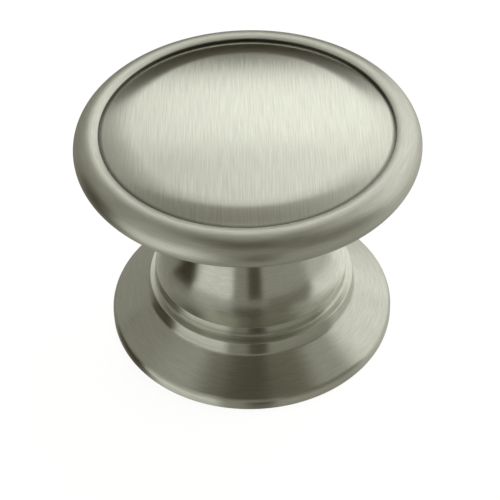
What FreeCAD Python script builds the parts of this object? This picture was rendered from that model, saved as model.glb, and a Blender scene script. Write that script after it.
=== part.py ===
import FreeCAD, Part
import math
import os

# A round cabinet knob, one piece of cast metal finished by turning, in millimetres.
# Z is its axis. The seat on the door or drawer front is at z = 0 and the head looks along +Z.

# Head: a round bead runs along the rim, and a low wall drops from it to the face, which rises as a wide pillow.
head_diameter = 32.0
bead_height = 23.33
bead_radius = 1.73
wall_inset = 0.67
wall_drop = 0.25
wall_draft = 5.0
wall_edge_rounding = 0.08
face_roll_radius = 10.7
face_edge_slope = 22.0
face_dome_slope = 5.0

# Neck: it narrows to a waist, swells a little, and turns out through a cove to a thin lip above the riser.
waist_diameter = 13.8
waist_height = 12.5
neck_swell = 0.4
neck_cove_height = 8.5
neck_foot_diameter = 18.88
neck_foot_height = 6.4
neck_lip_thickness = 0.2
neck_lip_overhang = 0.14
neck_lip_rounding = 0.06

# Collar: a short round step between the riser and the flange.
collar_diameter = 20.3
collar_height = 5.0
collar_flare = 0.06
collar_rounding = 0.15
collar_cove = 0.45
riser_cove = 0.35

# Flange: a sloping top with a round shoulder, and a seat that touches the door only along its rim.
flange_diameter = 28.14
flange_top_height = 3.46
flange_shoulder_height = 1.13
shoulder_rounding = 0.7
seat_edge_rounding = 0.1
seat_rim_width = 2.6
relief_depth = 0.6
relief_rounding = 0.3

# Screw hole: blind, at the tapping size of a number 8 machine screw.
screw_hole_diameter = 3.454
screw_hole_depth = 13.0
screw_hole_lead_in = 0.4
drill_point_angle = 118.0

# Radii and heights that follow from the sizes above.
bead_centre_radius = head_diameter / 2 - bead_radius
bead_centre_height = bead_height - bead_radius
wall_radius = bead_centre_radius - wall_inset
wall_top_height = bead_centre_height + math.sqrt(bead_radius ** 2 - wall_inset ** 2)
face_edge_radius = wall_radius - wall_drop * math.tan(math.radians(wall_draft))
face_edge_height = wall_top_height - wall_drop
waist_radius = waist_diameter / 2
column_radius = waist_radius + neck_swell
neck_foot_radius = neck_foot_diameter / 2
neck_lip_base = neck_foot_height - neck_lip_thickness
riser_radius = neck_foot_radius - neck_lip_overhang
collar_radius = collar_diameter / 2
collar_foot_radius = collar_radius + collar_flare
flange_radius = flange_diameter / 2
relief_radius = flange_radius - seat_rim_width
screw_hole_radius = screw_hole_diameter / 2


def at(radius, height):
    """A point of the half section, at a distance from the axis and a height."""
    return FreeCAD.Vector(radius, 0, height)


def lines(*points):
    """Straight edges from each point to the next."""
    return [Part.makeLine(start, end) for start, end in zip(points, points[1:])]


def arc(start, middle, end):
    """A round edge through three points."""
    return Part.Arc(start, middle, end).toShape()


def on_circle(centre, radius, angle):
    """A point on a circle of the half section, at an angle from the outward direction."""
    return at(centre.x + radius * math.cos(angle), centre.z + radius * math.sin(angle))


def downhill(start, radius, first_slope, last_slope):
    """An arc of the face that runs outwards from a start point, and its end point, between two slopes in degrees."""
    first = math.radians(90 - first_slope)
    last = math.radians(90 - last_slope)
    centre = at(start.x - radius * math.cos(first), start.z - radius * math.sin(first))
    end = on_circle(centre, radius, last)
    return arc(start, on_circle(centre, radius, (first + last) / 2), end), end


def slope_step(radius, first_slope, last_slope):
    """How far out and how far down an arc goes between two slopes in degrees."""
    first = math.radians(first_slope)
    last = math.radians(last_slope)
    return radius * (math.sin(last) - math.sin(first)), radius * (math.cos(first) - math.cos(last))


def face_edges():
    """The face from its top on the axis: a wide dome, then a roll that steepens down to the foot of the wall."""
    roll_out, roll_down = slope_step(face_roll_radius, face_dome_slope, face_edge_slope)
    dome_edge_radius = face_edge_radius - roll_out
    dome_radius = dome_edge_radius / math.sin(math.radians(face_dome_slope))
    dome_rise = slope_step(dome_radius, 0, face_dome_slope)[1]
    top = at(0, face_edge_height + roll_down + dome_rise)
    dome, dome_end = downhill(top, dome_radius, 0, face_dome_slope)
    roll, roll_end = downhill(dome_end, face_roll_radius, face_dome_slope, face_edge_slope)
    return top, roll_end, [dome, roll]


def flare_radius():
    """The radius of the arc that is upright at the waist and just touches the bead."""
    across = bead_centre_radius - waist_radius
    along = bead_centre_height - waist_height
    return (across ** 2 + along ** 2 - bead_radius ** 2) / (2 * (across + bead_radius))


def bead_and_flare():
    """The bead from the top of the wall round its outside, and the flare from there down to the waist."""
    bead_centre = at(bead_centre_radius, bead_centre_height)
    flare_centre = at(waist_radius + flare_radius(), waist_height)
    between = flare_centre - bead_centre
    start_angle = math.pi / 2 + math.asin(wall_inset / bead_radius)
    end_angle = math.atan2(between.z, between.x)
    bead_start = on_circle(bead_centre, bead_radius, start_angle)
    bead_middle = on_circle(bead_centre, bead_radius, (start_angle + end_angle) / 2)
    touch = on_circle(bead_centre, bead_radius, end_angle)
    flare_middle = on_circle(flare_centre, flare_radius(), (end_angle + 2 * math.pi) / 2)
    flare = arc(touch, flare_middle, at(waist_radius, waist_height))
    return bead_start, [arc(bead_start, bead_middle, touch), flare]


def lower_neck():
    """From the waist a slow arc that swells the column, then the cove that turns out to the lip at its foot."""
    down = waist_height - neck_cove_height
    column_arc_radius = (neck_swell ** 2 + down ** 2) / (2 * neck_swell)
    lean = math.asin(down / column_arc_radius)
    column_centre = at(waist_radius + column_arc_radius, waist_height)
    cove_start = at(column_radius, neck_cove_height)
    foot = at(neck_foot_radius, neck_foot_height)
    across = foot - cove_start
    outward = at(math.cos(lean), math.sin(lean))
    cove_radius = across.dot(across) / (2 * across.dot(outward))
    cove_centre = cove_start + outward * cove_radius
    foot_angle = math.atan2(foot.z - cove_centre.z, foot.x - cove_centre.x) + 2 * math.pi
    column_middle = on_circle(column_centre, column_arc_radius, math.pi + lean / 2)
    cove_middle = on_circle(cove_centre, cove_radius, (math.pi + lean + foot_angle) / 2)
    column = arc(at(waist_radius, waist_height), column_middle, cove_start)
    return [column, arc(cove_start, cove_middle, foot)]


def half_section():
    """The closed outline on one side of the axis, before the corners are rounded."""
    top, face_edge, edges = face_edges()
    wall_top, bead_edges = bead_and_flare()
    edges += lines(face_edge, wall_top)
    edges += bead_edges
    edges += lower_neck()
    edges += lines(
        at(neck_foot_radius, neck_foot_height),
        at(neck_foot_radius, neck_lip_base),
        at(riser_radius, neck_lip_base),
        at(riser_radius, collar_height),
        at(collar_radius, collar_height),
        at(collar_foot_radius, flange_top_height),
        at(flange_radius, flange_shoulder_height),
        at(flange_radius, 0),
        at(relief_radius, 0),
        at(relief_radius, relief_depth),
        at(0, relief_depth),
        top,
    )
    return Part.Face(Part.Wire(edges))


def turned(section):
    """The solid that a half section makes when it goes once round the axis."""
    return section.revolve(at(0, 0), FreeCAD.Vector(0, 0, 1), 360)


def rounded(solid, radius, height, rounding):
    """The solid with its circular edge at this radius and height rounded."""
    tolerance = 1e-4
    edges = []
    for edge in solid.Edges:
        if edge.Degenerated or not isinstance(edge.Curve, Part.Circle):
            continue
        same_radius = abs(edge.Curve.Radius - radius) < tolerance
        same_height = abs(edge.Curve.Center.z - height) < tolerance
        if same_radius and same_height:
            edges.append(edge)
    return solid.makeFillet(rounding, edges)


def screw_hole():
    """The drilled hole with its point and the lead-in at its mouth."""
    point_length = screw_hole_radius / math.tan(math.radians(drill_point_angle / 2))
    mouth_radius = screw_hole_radius + screw_hole_lead_in
    outline = lines(
        at(0, 0),
        at(mouth_radius, 0),
        at(mouth_radius, relief_depth),
        at(screw_hole_radius, relief_depth + screw_hole_lead_in),
        at(screw_hole_radius, screw_hole_depth),
        at(0, screw_hole_depth + point_length),
        at(0, 0),
    )
    return turned(Part.Face(Part.Wire(outline)))


knob = turned(half_section())
for corner_radius, corner_height, rounding in (
    (wall_radius, wall_top_height, wall_edge_rounding),
    (neck_foot_radius, neck_foot_height, neck_lip_rounding),
    (neck_foot_radius, neck_lip_base, neck_lip_rounding),
    (riser_radius, collar_height, riser_cove),
    (collar_radius, collar_height, collar_rounding),
    (collar_foot_radius, flange_top_height, collar_cove),
    (flange_radius, flange_shoulder_height, shoulder_rounding),
    (flange_radius, 0, seat_edge_rounding),
    (relief_radius, relief_depth, relief_rounding),
):
    knob = rounded(knob, corner_radius, corner_height, rounding)
knob = knob.cut(screw_hole())

os.makedirs("parts", exist_ok=True)
knob.exportStep("parts/knob.step")
box = knob.optimalBoundingBox(False, False)
print("knob: valid", knob.isValid(), "volume mm3", round(knob.Volume, 1))
print("size mm", round(box.XLength, 3), round(box.YLength, 3), round(box.ZLength, 3))
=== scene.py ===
import bpy
import bmesh
import math
from mathutils import Matrix, Vector


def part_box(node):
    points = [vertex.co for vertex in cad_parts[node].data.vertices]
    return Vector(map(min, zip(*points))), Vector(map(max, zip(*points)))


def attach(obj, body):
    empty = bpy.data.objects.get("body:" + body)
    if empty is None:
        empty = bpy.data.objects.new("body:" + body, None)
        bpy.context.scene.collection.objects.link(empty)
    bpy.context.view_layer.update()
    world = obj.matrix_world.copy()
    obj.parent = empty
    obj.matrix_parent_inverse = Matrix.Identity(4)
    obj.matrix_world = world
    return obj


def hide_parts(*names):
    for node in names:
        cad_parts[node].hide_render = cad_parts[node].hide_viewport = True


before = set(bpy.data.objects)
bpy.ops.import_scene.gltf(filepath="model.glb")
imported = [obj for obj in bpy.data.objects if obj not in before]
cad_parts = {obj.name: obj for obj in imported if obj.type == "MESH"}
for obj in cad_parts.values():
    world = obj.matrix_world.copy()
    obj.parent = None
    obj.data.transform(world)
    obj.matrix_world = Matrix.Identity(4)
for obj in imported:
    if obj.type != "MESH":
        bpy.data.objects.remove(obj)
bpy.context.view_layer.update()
scene = bpy.context.scene
mm = 0.001
micron = 0.000001
touching = 0.0001 * mm  # points closer than this are one point
knobLow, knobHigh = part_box("knob")
print("frame loaded")

# Form of the knob: the half section runs from the middle of the face, over the rim and down to the
# screw hole. Sizes in mm, radii from the axis and heights from the seat.
knobForm = {
    "headRadius": (knobHigh[0] - knobLow[0]) / 2 / mm,
    "beadRadius": 1.73,
    "beadTop": 23.33,
    "wallInset": 0.67,
    "wallDrop": 0.25,
    "wallDraft": 5.0,
    "wallRound": 0.08,
    "edgeSlope": 22.0,
    "rollRadius": 10.7,
    "rollStart": 5.0,
    "waist": (6.9, 12.5),
    "neckSwell": 0.4,
    "coveTop": 8.5,
    "neckFoot": (9.44, 6.4),
    "neckLip": (0.14, 0.2, 0.06),  # overhang, thickness, rounding
    "collarTop": (10.15, 5.0, 0.15),  # radius, height, rounding
    "riserCove": 0.35,
    "collarFoot": (10.21, 3.46, 0.45),  # radius, height, cove
    "shoulder": (14.07, 1.13, 0.7),  # radius, height, rounding
    "seatRound": 0.1,
    "relief": (11.47, 0.6, 0.3),  # radius, depth, rounding
    "mouthRadius": 2.7,  # the relief is closed from here to the screw hole
    "steps": {"dome": 40, "roll": 24, "bead": 64, "flare": 40, "column": 16, "cove": 24,
              "corner": 6, "around": 192},
    "sharpAngle": 35,
}


def sectionPoint(mesh, radius, height):
    return mesh.verts.new((radius * mm, 0, height * mm))


def lineTo(mesh, last, radius, height):
    point = sectionPoint(mesh, radius, height)
    mesh.edges.new((last, point))
    return point


def arcAbout(mesh, last, centre, degrees, steps):
    made = bmesh.ops.spin(mesh, geom=[last], cent=(centre[0] * mm, 0, centre[1] * mm),
                          axis=(0, 1, 0), angle=math.radians(degrees), steps=steps)
    return made["geom_last"][0]


def roundCorner(mesh, corner, radius, segments):
    # the cut is measured along the edges, so it follows from how far the line turns
    there, back = [(edge.other_vert(corner).co - corner.co).normalized() for edge in corner.link_edges]
    turn = math.pi - there.angle(back)
    bmesh.ops.bevel(mesh, geom=[corner], offset=radius * mm * math.tan(turn / 2), offset_type="OFFSET",
                    segments=segments, profile=0.5, affect="VERTICES", material=-1, clamp_overlap=False)


def knobSection(mesh, form):
    rounds, steps = [], form["steps"]
    beadCentre = (form["headRadius"] - form["beadRadius"], form["beadTop"] - form["beadRadius"])
    wallRadius = beadCentre[0] - form["wallInset"]
    wallTop = beadCentre[1] + math.sqrt(form["beadRadius"] ** 2 - form["wallInset"] ** 2)
    edgeRadius = wallRadius - form["wallDrop"] * math.tan(math.radians(form["wallDraft"]))
    edgeHeight = wallTop - form["wallDrop"]

    # face: a wide dome, then a roll that steepens down to the foot of the wall
    edge, start = math.radians(form["edgeSlope"]), math.radians(form["rollStart"])
    roll = form["rollRadius"]
    rollRadius = edgeRadius - roll * (math.sin(edge) - math.sin(start))
    rollHeight = edgeHeight + roll * (math.cos(start) - math.cos(edge))
    domeRadius = rollRadius / math.sin(start)
    domeCentre = rollHeight - domeRadius * math.cos(start)
    last = sectionPoint(mesh, 0, domeCentre + domeRadius)
    last = arcAbout(mesh, last, (0, domeCentre), form["rollStart"], steps["dome"])
    rollCentre = (rollRadius - roll * math.sin(start), rollHeight - roll * math.cos(start))
    last = arcAbout(mesh, last, rollCentre, form["edgeSlope"] - form["rollStart"], steps["roll"])
    print("face from", round(domeCentre + domeRadius, 3), "to", round(edgeHeight, 3))
    last = lineTo(mesh, last, wallRadius, wallTop)
    rounds.append((last, form["wallRound"]))
    beadStart = -math.degrees(math.asin(form["wallInset"] / form["beadRadius"]))

    # bead, then the flare that touches it and stands upright at the waist
    waist, foot = form["waist"], form["neckFoot"]
    across, along = beadCentre[0] - waist[0], beadCentre[1] - waist[1]
    flare = (across ** 2 + along ** 2 - form["beadRadius"] ** 2) / (2 * (across + form["beadRadius"]))
    flareCentre = (waist[0] + flare, waist[1])
    touch = math.degrees(math.atan2(beadCentre[0] - flareCentre[0], beadCentre[1] - flareCentre[1]))
    last = arcAbout(mesh, last, beadCentre, 180 + touch - beadStart, steps["bead"])
    last = arcAbout(mesh, last, flareCentre, -(90 + touch), steps["flare"])

    # lower neck: a slow arc swells the column, then the cove turns out to the lip
    swell, coveTop = form["neckSwell"], form["coveTop"]
    down = waist[1] - coveTop
    column = (swell ** 2 + down ** 2) / (2 * swell)
    lean = math.asin(down / column)
    last = arcAbout(mesh, last, (waist[0] + column, waist[1]), -math.degrees(lean), steps["column"])
    across, along = foot[0] - waist[0] - swell, foot[1] - coveTop
    cove = (across ** 2 + along ** 2) / (2 * (across * math.cos(lean) + along * math.sin(lean)))
    coveCentre = (waist[0] + swell + cove * math.cos(lean), coveTop + cove * math.sin(lean))
    bend = math.atan2(coveCentre[1] - foot[1], coveCentre[0] - foot[0]) - lean
    last = arcAbout(mesh, last, coveCentre, -math.degrees(bend), steps["cove"])
    overhang, thickness, lipRound = form["neckLip"]
    rounds.append((last, lipRound))
    last = lineTo(mesh, last, foot[0], foot[1] - thickness)
    rounds.append((last, lipRound))
    last = lineTo(mesh, last, foot[0] - overhang, foot[1] - thickness)

    # collar and flange
    last = lineTo(mesh, last, foot[0] - overhang, form["collarTop"][1])
    rounds.append((last, form["riserCove"]))
    for radius, height, rounding in (form["collarTop"], form["collarFoot"], form["shoulder"]):
        last = lineTo(mesh, last, radius, height)
        rounds.append((last, rounding))

    # seat, and the relief up to the mouth of the screw hole
    last = lineTo(mesh, last, form["shoulder"][0], 0)
    rounds.append((last, form["seatRound"]))
    radius, depth, rounding = form["relief"]
    last = lineTo(mesh, last, radius, 0)
    last = lineTo(mesh, last, radius, depth)
    rounds.append((last, rounding))
    lineTo(mesh, last, form["mouthRadius"], depth)
    for corner, rounding in rounds:
        roundCorner(mesh, corner, rounding, steps["corner"])


# Screw hole: a cone at its mouth, a right-hand thread, a plain end and the point of the drill
screwHole = {
    "mouth": (2.127, 0.6),  # radius, height
    "innerRadius": 1.727,
    "outerRadius": 2.083,
    "pitch": 0.794,
    "innerFlat": 0.284,
    "outerFlat": 0.099,
    "fade": (11.5, 12.2),  # the thread runs out between these heights
    "depth": 13.0,
    "point": 14.04,
    "stepsAround": 48,
}


def cutThread(mesh, hole):
    inner, outer, pitch = hole["innerRadius"], hole["outerRadius"], hole["pitch"]
    flats = hole["innerFlat"], hole["outerFlat"]
    flank = (pitch - sum(flats)) / 2
    low, high = hole["mouth"][1], hole["fade"][1]
    # one turn of the thread's profile goes round from below the mouth to above the fade, and is cut there
    last = sectionPoint(mesh, inner, low - 2 * pitch)
    profile = [last]
    for radius, rise in ((inner, flats[0]), (outer, flank), (outer, flats[1]), (inner, flank)):
        last = lineTo(mesh, last, radius, last.co.z / mm + rise)
        profile.append(last)
    turns = math.ceil((high - low) / pitch) + 3
    rise = Vector((0, 0, pitch / hole["stepsAround"] * mm))
    bmesh.ops.spin(mesh, geom=profile + mesh.edges[:], cent=(0, 0, 0), axis=(0, 0, 1), dvec=rise,
                   angle=2 * math.pi * turns, steps=turns * hole["stepsAround"])
    bmesh.ops.remove_doubles(mesh, verts=mesh.verts[:], dist=10 * touching)
    for height, side in ((low, -1), (high, 1)):
        geometry = mesh.verts[:] + mesh.edges[:] + mesh.faces[:]
        bmesh.ops.bisect_plane(mesh, geom=geometry, dist=touching, plane_co=(0, 0, height * mm),
                               plane_no=(0, 0, side), clear_outer=True)
    # the cone at the mouth cuts the first turn, and the last turn fades out
    start, end = hole["fade"]
    for vert in mesh.verts:
        radius, height = vert.co.xy.length / mm, vert.co.z / mm
        fade = min(max((end - height) / (end - start), 0), 1)
        wanted = max(inner + (radius - inner) * fade, hole["mouth"][0] - (height - low))
        vert.co.xy *= wanted / radius


def openLoop(mesh, height):
    return [edge for edge in mesh.edges if edge.is_boundary
            and all(abs(vert.co.z - height * mm) < 10 * touching for vert in edge.verts)]


def grownLoop(mesh, height):
    grown = bmesh.ops.extrude_edge_only(mesh, edges=openLoop(mesh, height))["geom"]
    return [item for item in grown if isinstance(item, bmesh.types.BMVert)]


def closeHole(mesh, hole):
    threadEnd, depth = hole["fade"][1], hole["depth"]
    bmesh.ops.translate(mesh, verts=grownLoop(mesh, threadEnd), vec=(0, 0, (depth - threadEnd) * mm))
    bmesh.ops.pointmerge(mesh, verts=grownLoop(mesh, depth), merge_co=(0, 0, hole["point"] * mm))


def makeKnob(form, hole):
    mesh = bmesh.new()
    cutThread(mesh, hole)
    closeHole(mesh, hole)
    thread = set(mesh.verts)
    knobSection(mesh, form)
    section = [vert for vert in mesh.verts if vert not in thread]
    edges = [edge for edge in mesh.edges if edge.verts[0] not in thread]
    bmesh.ops.spin(mesh, geom=section + edges, cent=(0, 0, 0), axis=(0, 0, 1),
                   angle=2 * math.pi, steps=form["steps"]["around"], use_merge=True)
    bmesh.ops.remove_doubles(mesh, verts=mesh.verts[:], dist=touching)
    bmesh.ops.bridge_loops(mesh, edges=openLoop(mesh, hole["mouth"][1]))
    bmesh.ops.recalc_face_normals(mesh, faces=mesh.faces[:])
    print("open edges", sum(1 for edge in mesh.edges if not edge.is_manifold))
    data = bpy.data.meshes.new("knobMetal")
    mesh.to_mesh(data)
    mesh.free()
    knob = bpy.data.objects.new("knobMetal", data)
    scene.collection.objects.link(knob)
    data.shade_smooth()
    data.set_sharp_from_angle(angle=math.radians(form["sharpAngle"]))
    return knob


knob = makeKnob(knobForm, screwHole)
print("knob made,", len(knob.data.polygons), "faces")

# Finishes. The metal is nickel over a casting, brushed straight across the face and round the rest. Each
# has how many marks there are in a metre across them, and along them in a metre or in a radian, how much
# they change the tone, and how deep they are in thousandths of a mm.
nickel = {
    "colour": (0.7, 0.715, 0.63),
    "face": {"roughness": 0.27, "anisotropy": 1.0, "marks": (9500, 280), "tone": 0.6, "depth": 0.5},
    "bead": {"roughness": 0.41, "anisotropy": 0.5, "marks": (11000, 8), "tone": 0.6, "depth": 1.0},
    "turned": {"roughness": 0.31, "anisotropy": 0.9, "marks": (9000, 8), "tone": 0.6, "depth": 1.0},
    "seat": {"roughness": 0.42, "anisotropy": 0.0, "marks": (2500, 2500), "tone": 0.3, "depth": 4.0},
    "thread": {"roughness": 0.3, "anisotropy": 0.0, "marks": (4000, 4000), "tone": 0.1, "depth": 1.0},
    # painted shade at the foot of the wall: the face darkens between these radii in mm to this tone
    "creaseShade": {"inner": 13.1, "outer": 13.42, "tone": 0.4},
}


def addNode(tree, kind, inputs=None, **settings):
    node = tree.nodes.new(kind)
    for name, value in settings.items():
        setattr(node, name, value)
    for name, value in (inputs or {}).items():
        if isinstance(value, bpy.types.NodeSocket):
            tree.links.new(value, node.inputs[name])
        else:
            node.inputs[name].default_value = value
    return node


def maths(tree, operation, *values):
    return addNode(tree, "ShaderNodeMath", dict(enumerate(values)), operation=operation).outputs[0]


def vectorMaths(tree, operation, *values, output="Vector"):
    return addNode(tree, "ShaderNodeVectorMath", dict(enumerate(values)), operation=operation).outputs[output]


def makeBrushGroup():
    group = bpy.data.node_groups.new("brushMarks", "ShaderNodeTree")
    for name in ("Place", "Turn", "Contrast", "Depth"):
        kind = "NodeSocketVector" if name == "Place" else "NodeSocketFloat"
        group.interface.new_socket(name, in_out="INPUT", socket_type=kind)
    for name in ("Tone", "Marks"):
        group.interface.new_socket(name, in_out="OUTPUT", socket_type="NodeSocketFloat")
    start = addNode(group, "NodeGroupInput")
    end = addNode(group, "NodeGroupOutput")
    fine = addNode(group, "ShaderNodeTexNoise", {
        "Vector": start.outputs["Place"], "W": start.outputs["Turn"], "Scale": 1.0, "Detail": 4.0,
        "Roughness": 0.65}, noise_dimensions="4D").outputs["Fac"]
    swing = maths(group, "SUBTRACT", fine, 0.5)
    group.links.new(maths(group, "MULTIPLY_ADD", swing, start.outputs["Contrast"], 1.0), end.inputs["Tone"])
    group.links.new(maths(group, "MULTIPLY", fine, start.outputs["Depth"]), end.inputs["Marks"])
    return group


brushGroup = makeBrushGroup()


def brushedMetal(finish, place, turn=None, tangent=None, rotation=0.0, shade=None):
    tree = place.id_data
    marks = addNode(tree, "ShaderNodeGroup", node_tree=brushGroup)
    tree.links.new(place, marks.inputs["Place"])
    if turn:
        tree.links.new(turn, marks.inputs["Turn"])
    marks.inputs["Contrast"].default_value = finish["tone"]
    marks.inputs["Depth"].default_value = finish["depth"] * micron
    tone = marks.outputs["Tone"]
    if shade:
        tone = maths(tree, "MULTIPLY", tone, shade)
    colour = addNode(tree, "ShaderNodeVectorMath", {0: nickel["colour"], "Scale": tone}, operation="SCALE")
    bump = addNode(tree, "ShaderNodeBump", {"Strength": 1.0, "Distance": 1.0, "Height": marks.outputs["Marks"]})
    shader = tree.nodes["Principled BSDF"]
    tree.links.new(colour.outputs[0], shader.inputs["Base Color"])
    tree.links.new(bump.outputs[0], shader.inputs["Normal"])
    shader.inputs["Metallic"].default_value = 1
    shader.inputs["Roughness"].default_value = finish["roughness"]
    shader.inputs["Anisotropic"].default_value = finish["anisotropy"]
    shader.inputs["Anisotropic Rotation"].default_value = rotation
    if tangent:
        tree.links.new(tangent, shader.inputs["Tangent"])


def newMaterial(name):
    material = bpy.data.materials.new(name)
    material.use_nodes = True
    return material, addNode(material.node_tree, "ShaderNodeTexCoord").outputs["Object"]


def fromAxis(tree, spot):
    flat = vectorMaths(tree, "MULTIPLY", spot, (1, 1, 0))
    return flat, vectorMaths(tree, "LENGTH", flat, output="Value")


def straightMetal(name, finish):
    # marks are narrow along X and long along Y
    material, spot = newMaterial(name)
    tree, creaseShade = material.node_tree, nickel["creaseShade"]
    place = addNode(tree, "ShaderNodeMapping", {"Vector": spot, "Scale": (*finish["marks"], 0)})
    tangent = addNode(tree, "ShaderNodeTangent", direction_type="UV_MAP", uv_map="across")
    # painted shade: the face's colour darkens towards the foot of the wall
    shade = addNode(tree, "ShaderNodeMapRange", {
        "Value": fromAxis(tree, spot)[1], "From Min": creaseShade["inner"] * mm, "From Max": creaseShade["outer"] * mm,
        "To Min": 1.0, "To Max": creaseShade["tone"]}, interpolation_type="SMOOTHSTEP")
    brushedMetal(finish, place.outputs[0], None, tangent.outputs[0], shade=shade.outputs["Result"])
    return material


def turnedMetal(name, finish):
    # marks run round the axis: narrow along the radius and the height, long in the direction round
    material, spot = newMaterial(name)
    tree = material.node_tree
    narrow, long = finish["marks"]
    centred = addNode(tree, "ShaderNodeMapping", {"Vector": spot}).outputs[0]
    flat, radius = fromAxis(tree, centred)
    around = vectorMaths(tree, "MULTIPLY", vectorMaths(tree, "NORMALIZE", flat), (long, long, 0))
    outward = addNode(tree, "ShaderNodeCombineXYZ", {"Z": maths(tree, "MULTIPLY", radius, narrow)}).outputs[0]
    height = addNode(tree, "ShaderNodeSeparateXYZ", {0: centred}).outputs["Z"]
    up = maths(tree, "MULTIPLY", height, narrow)
    tangent = addNode(tree, "ShaderNodeTangent", direction_type="RADIAL", axis="Z").outputs[0]
    quarterTurn = 0.25  # the tangent runs round, and the highlight spreads across the marks
    brushedMetal(finish, vectorMaths(tree, "ADD", around, outward), up, tangent, quarterTurn)
    return material


def plainMetal(name, finish):
    material, spot = newMaterial(name)
    scale = finish["marks"][:1] * 3
    place = addNode(material.node_tree, "ShaderNodeMapping", {"Vector": spot, "Scale": scale})
    brushedMetal(finish, place.outputs[0])
    return material


def dressKnob(knob, form, hole):
    # a UV map whose first direction is X, for the highlight on the face
    uv = knob.data.uv_layers.new(name="across")
    width = 2 * form["headRadius"] * mm
    for loop in knob.data.loops:
        spot = knob.data.vertices[loop.vertex_index].co
        uv.data[loop.index].uv = (spot.x / width + 0.5, spot.y / width + 0.5)
    places = ["turned", "face", "bead", "seat", "thread"]
    makers = [turnedMetal, straightMetal, turnedMetal, plainMetal, plainMetal]
    for place, maker in zip(places, makers):
        knob.data.materials.append(maker(place + "Nickel", nickel[place]))

    # where one finish ends and the next begins
    faceEdge = form["headRadius"] - form["beadRadius"] - form["wallInset"] - 0.01
    beadMiddle = form["beadTop"] - form["beadRadius"]
    reliefEdge, reliefTop = form["relief"][0] + 0.05, form["relief"][1] + 0.001
    seatTop = 0.01
    for face in knob.data.polygons:
        radius, height = face.center.xy.length / mm, face.center.z / mm
        if height > beadMiddle and radius < faceEdge:
            place = "face"
        elif height > beadMiddle - form["beadRadius"]:
            place = "bead"
        elif radius < hole["mouth"][0] and height > reliefTop:
            place = "thread"
        elif radius < reliefEdge and height < reliefTop or height < seatTop:
            place = "seat"
        else:
            place = "turned"
        face.material_index = places.index(place)


dressKnob(knob, knobForm, screwHole)
print("finishes made")

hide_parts("knob")
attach(knob, "root")

# Camera: where the photograph was taken from, in mm and degrees, with its focal length in pixels
# of a 500 pixel wide picture
cameraPlace = {
    "focalPixels": 1430,
    "pictureWidth": 500,
    "sensorWidth": 36,
    "nearest": 1.0,
    "distance": 141.0,
    "above": 43.85,
    "roll": -1.555,
    "target": (-0.042, 0, 7.55),
}


def placeCamera(place):
    data = bpy.data.cameras.new("camera")
    data.sensor_width = place["sensorWidth"]
    data.lens = place["focalPixels"] / place["pictureWidth"] * data.sensor_width
    data.clip_start = place["nearest"] * mm
    camera = bpy.data.objects.new("camera", data)
    scene.collection.objects.link(camera)
    back = place["distance"] * mm
    tilt = Matrix.Rotation(math.radians(90 - place["above"]), 4, "X")
    roll = Matrix.Rotation(math.radians(place["roll"]), 4, "Z")
    target = Matrix.Translation(Vector(place["target"]) * mm)
    camera.matrix_world = target @ tilt @ roll @ Matrix.Translation((0, 0, back))
    scene.camera = camera


placeCamera(cameraPlace)
print("camera placed")

# Studio: soft panels round the knob, each between two azimuths and two angles above the horizon, with
# its brightness. Azimuth 0 is behind the knob, 90 to its right and 180 at the camera. A later panel
# covers an earlier one.
studio = {
    "surround": 0.02,
    "softness": 3,
    "warmth": (0.008, 0.04),  # red that each panel adds, and the brightness below which its blue fades
    "panels": {
        "ceiling": ((-200, 200), (64, 120), 0.06),
        "backCeiling": ((-90, 90), (64, 120), 0.22),
        "skylight": ((-200, 200), (80, 120), 0.5),
        "table": ((-200, 200), (-120, -50), 0.3),
        "backTable": ((-17, 97), (-50, -4), 0.5),
        "rightTable": ((97, 165), (-50, -4), 0.37),
        "rightWall": ((97, 165), (-4, 64), 0.15),
        "rightCard": ((52, 97), (-4, 28), 0.8),
        "rightWindow": ((20, 52), (-4, 28), 0.95),
        "rightTop": ((75, 120), (46, 64), 0.55),
        "boxShade": ((20, 75), (46, 64), 0.5),
        "boxEnd": ((52, 97), (28, 46), 1.0),
        "boxMiddle": ((20, 52), (28, 46), 1.15),
        "softBoxTop": ((-17, 20), (44, 61), 1.08),
        "softBox": ((-17, 20), (28, 44), 1.38),
        "leftCard": ((-62, -17), (12, 64), 0.28),
        "leftCardFoot": ((-62, -17), (-50, 12), 0.25),
        "leftGap": ((-97, -62), (12, 64), 0.28),
        "leftWindow": ((-155, -97), (-50, -4), 0.85),
        "leftWall": ((-155, -97), (-4, 46), 0.4),
        "leftTop": ((-125, -97), (46, 64), 0.4),
        "nearLeft": ((-175, -155), (-50, 12), 0.27),
        "nearCard": ((160, 205), (-4, 28), 0.3),
    },
}


def panelColour(brightness, warmth):
    more, fade = warmth
    return brightness + more, brightness, brightness * brightness / (brightness + fade), 1


def softBand(tree, angle, limits, softness):
    # 1 between two angles and 0 outside them
    middle, half = (limits[0] + limits[1]) / 2, (limits[1] - limits[0]) / 2
    away = maths(tree, "WRAP", maths(tree, "SUBTRACT", angle, middle), 180, -180)
    band = addNode(tree, "ShaderNodeMapRange", {
        "Value": maths(tree, "ABSOLUTE", away), "From Min": half + softness, "From Max": half - softness},
        interpolation_type="SMOOTHSTEP")
    return band.outputs["Result"]


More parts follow.
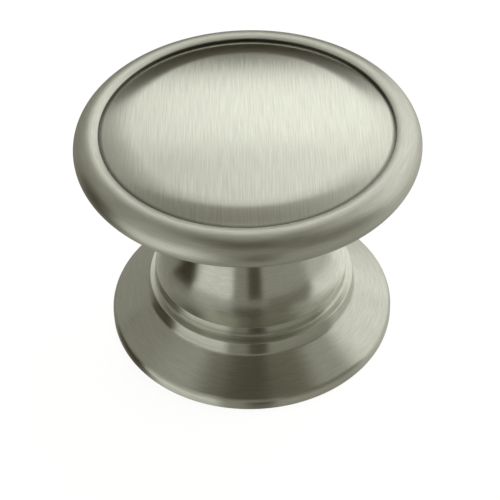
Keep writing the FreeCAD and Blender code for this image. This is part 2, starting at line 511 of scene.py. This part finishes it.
def makeStudio(settings):
    world = bpy.data.worlds.new("studio")
    scene.world = world
    world.use_nodes = True
    tree = world.node_tree
    background = tree.nodes["Background"]
    direction = addNode(tree, "ShaderNodeTexCoord").outputs["Generated"]
    parts = addNode(tree, "ShaderNodeSeparateXYZ", {0: direction})
    azimuth = maths(tree, "DEGREES", maths(tree, "ARCTAN2", parts.outputs["X"], parts.outputs["Y"]))
    above = maths(tree, "DEGREES", maths(tree, "ARCSINE", parts.outputs["Z"]))
    softness, warmth = settings["softness"], settings["warmth"]
    light = panelColour(settings["surround"], warmth)
    for name, (azimuths, heights, brightness) in settings["panels"].items():
        across, upright = softBand(tree, azimuth, azimuths, softness), softBand(tree, above, heights, softness)
        shape = maths(tree, "MULTIPLY", across, upright)
        # sockets 0, 6 and 7 of a colour mix are its factor and its two colours
        light = addNode(tree, "ShaderNodeMix", {0: shape, 6: light, 7: panelColour(brightness, warmth)},
                        data_type="RGBA", name=name).outputs[2]
    tree.links.new(light, background.inputs["Color"])
    # the camera itself sees plain white
    plain = addNode(tree, "ShaderNodeBackground", {"Color": (1, 1, 1, 1)})
    path = addNode(tree, "ShaderNodeLightPath")
    choice = addNode(tree, "ShaderNodeMixShader", {0: path.outputs["Is Camera Ray"], 1: background.outputs[0],
                                                   2: plain.outputs[0]})
    tree.links.new(choice.outputs[0], tree.nodes["World Output"].inputs["Surface"])


makeStudio(studio)


# Floor: pale and matte. What it adds of its own brightness is for the camera only, so the shadow stays.
floorLook = {"size": 1.0, "colour": (0.5, 0.5, 0.5, 1), "brightness": 0.87}


def makeFloor(look):
    mesh = bmesh.new()
    bmesh.ops.create_grid(mesh, x_segments=1, y_segments=1, size=look["size"])
    data = bpy.data.meshes.new("floor")
    mesh.to_mesh(data)
    mesh.free()
    floor = bpy.data.objects.new("floor", data)
    scene.collection.objects.link(floor)
    material = bpy.data.materials.new("paleFloor")
    material.use_nodes = True
    tree = material.node_tree
    shader = tree.nodes["Principled BSDF"]
    shader.inputs["Base Color"].default_value = look["colour"]
    shader.inputs["Roughness"].default_value = 1
    shader.inputs["Specular IOR Level"].default_value = 0
    shader.inputs["Emission Color"].default_value = (1, 1, 1, 1)
    cameraRay = addNode(tree, "ShaderNodeLightPath").outputs["Is Camera Ray"]
    strength = maths(tree, "MULTIPLY", cameraRay, look["brightness"])
    tree.links.new(strength, shader.inputs["Emission Strength"])
    data.materials.append(material)
    floor.visible_glossy = False


makeFloor(floorLook)
print("studio made")

scene.view_settings.view_transform = "Standard"
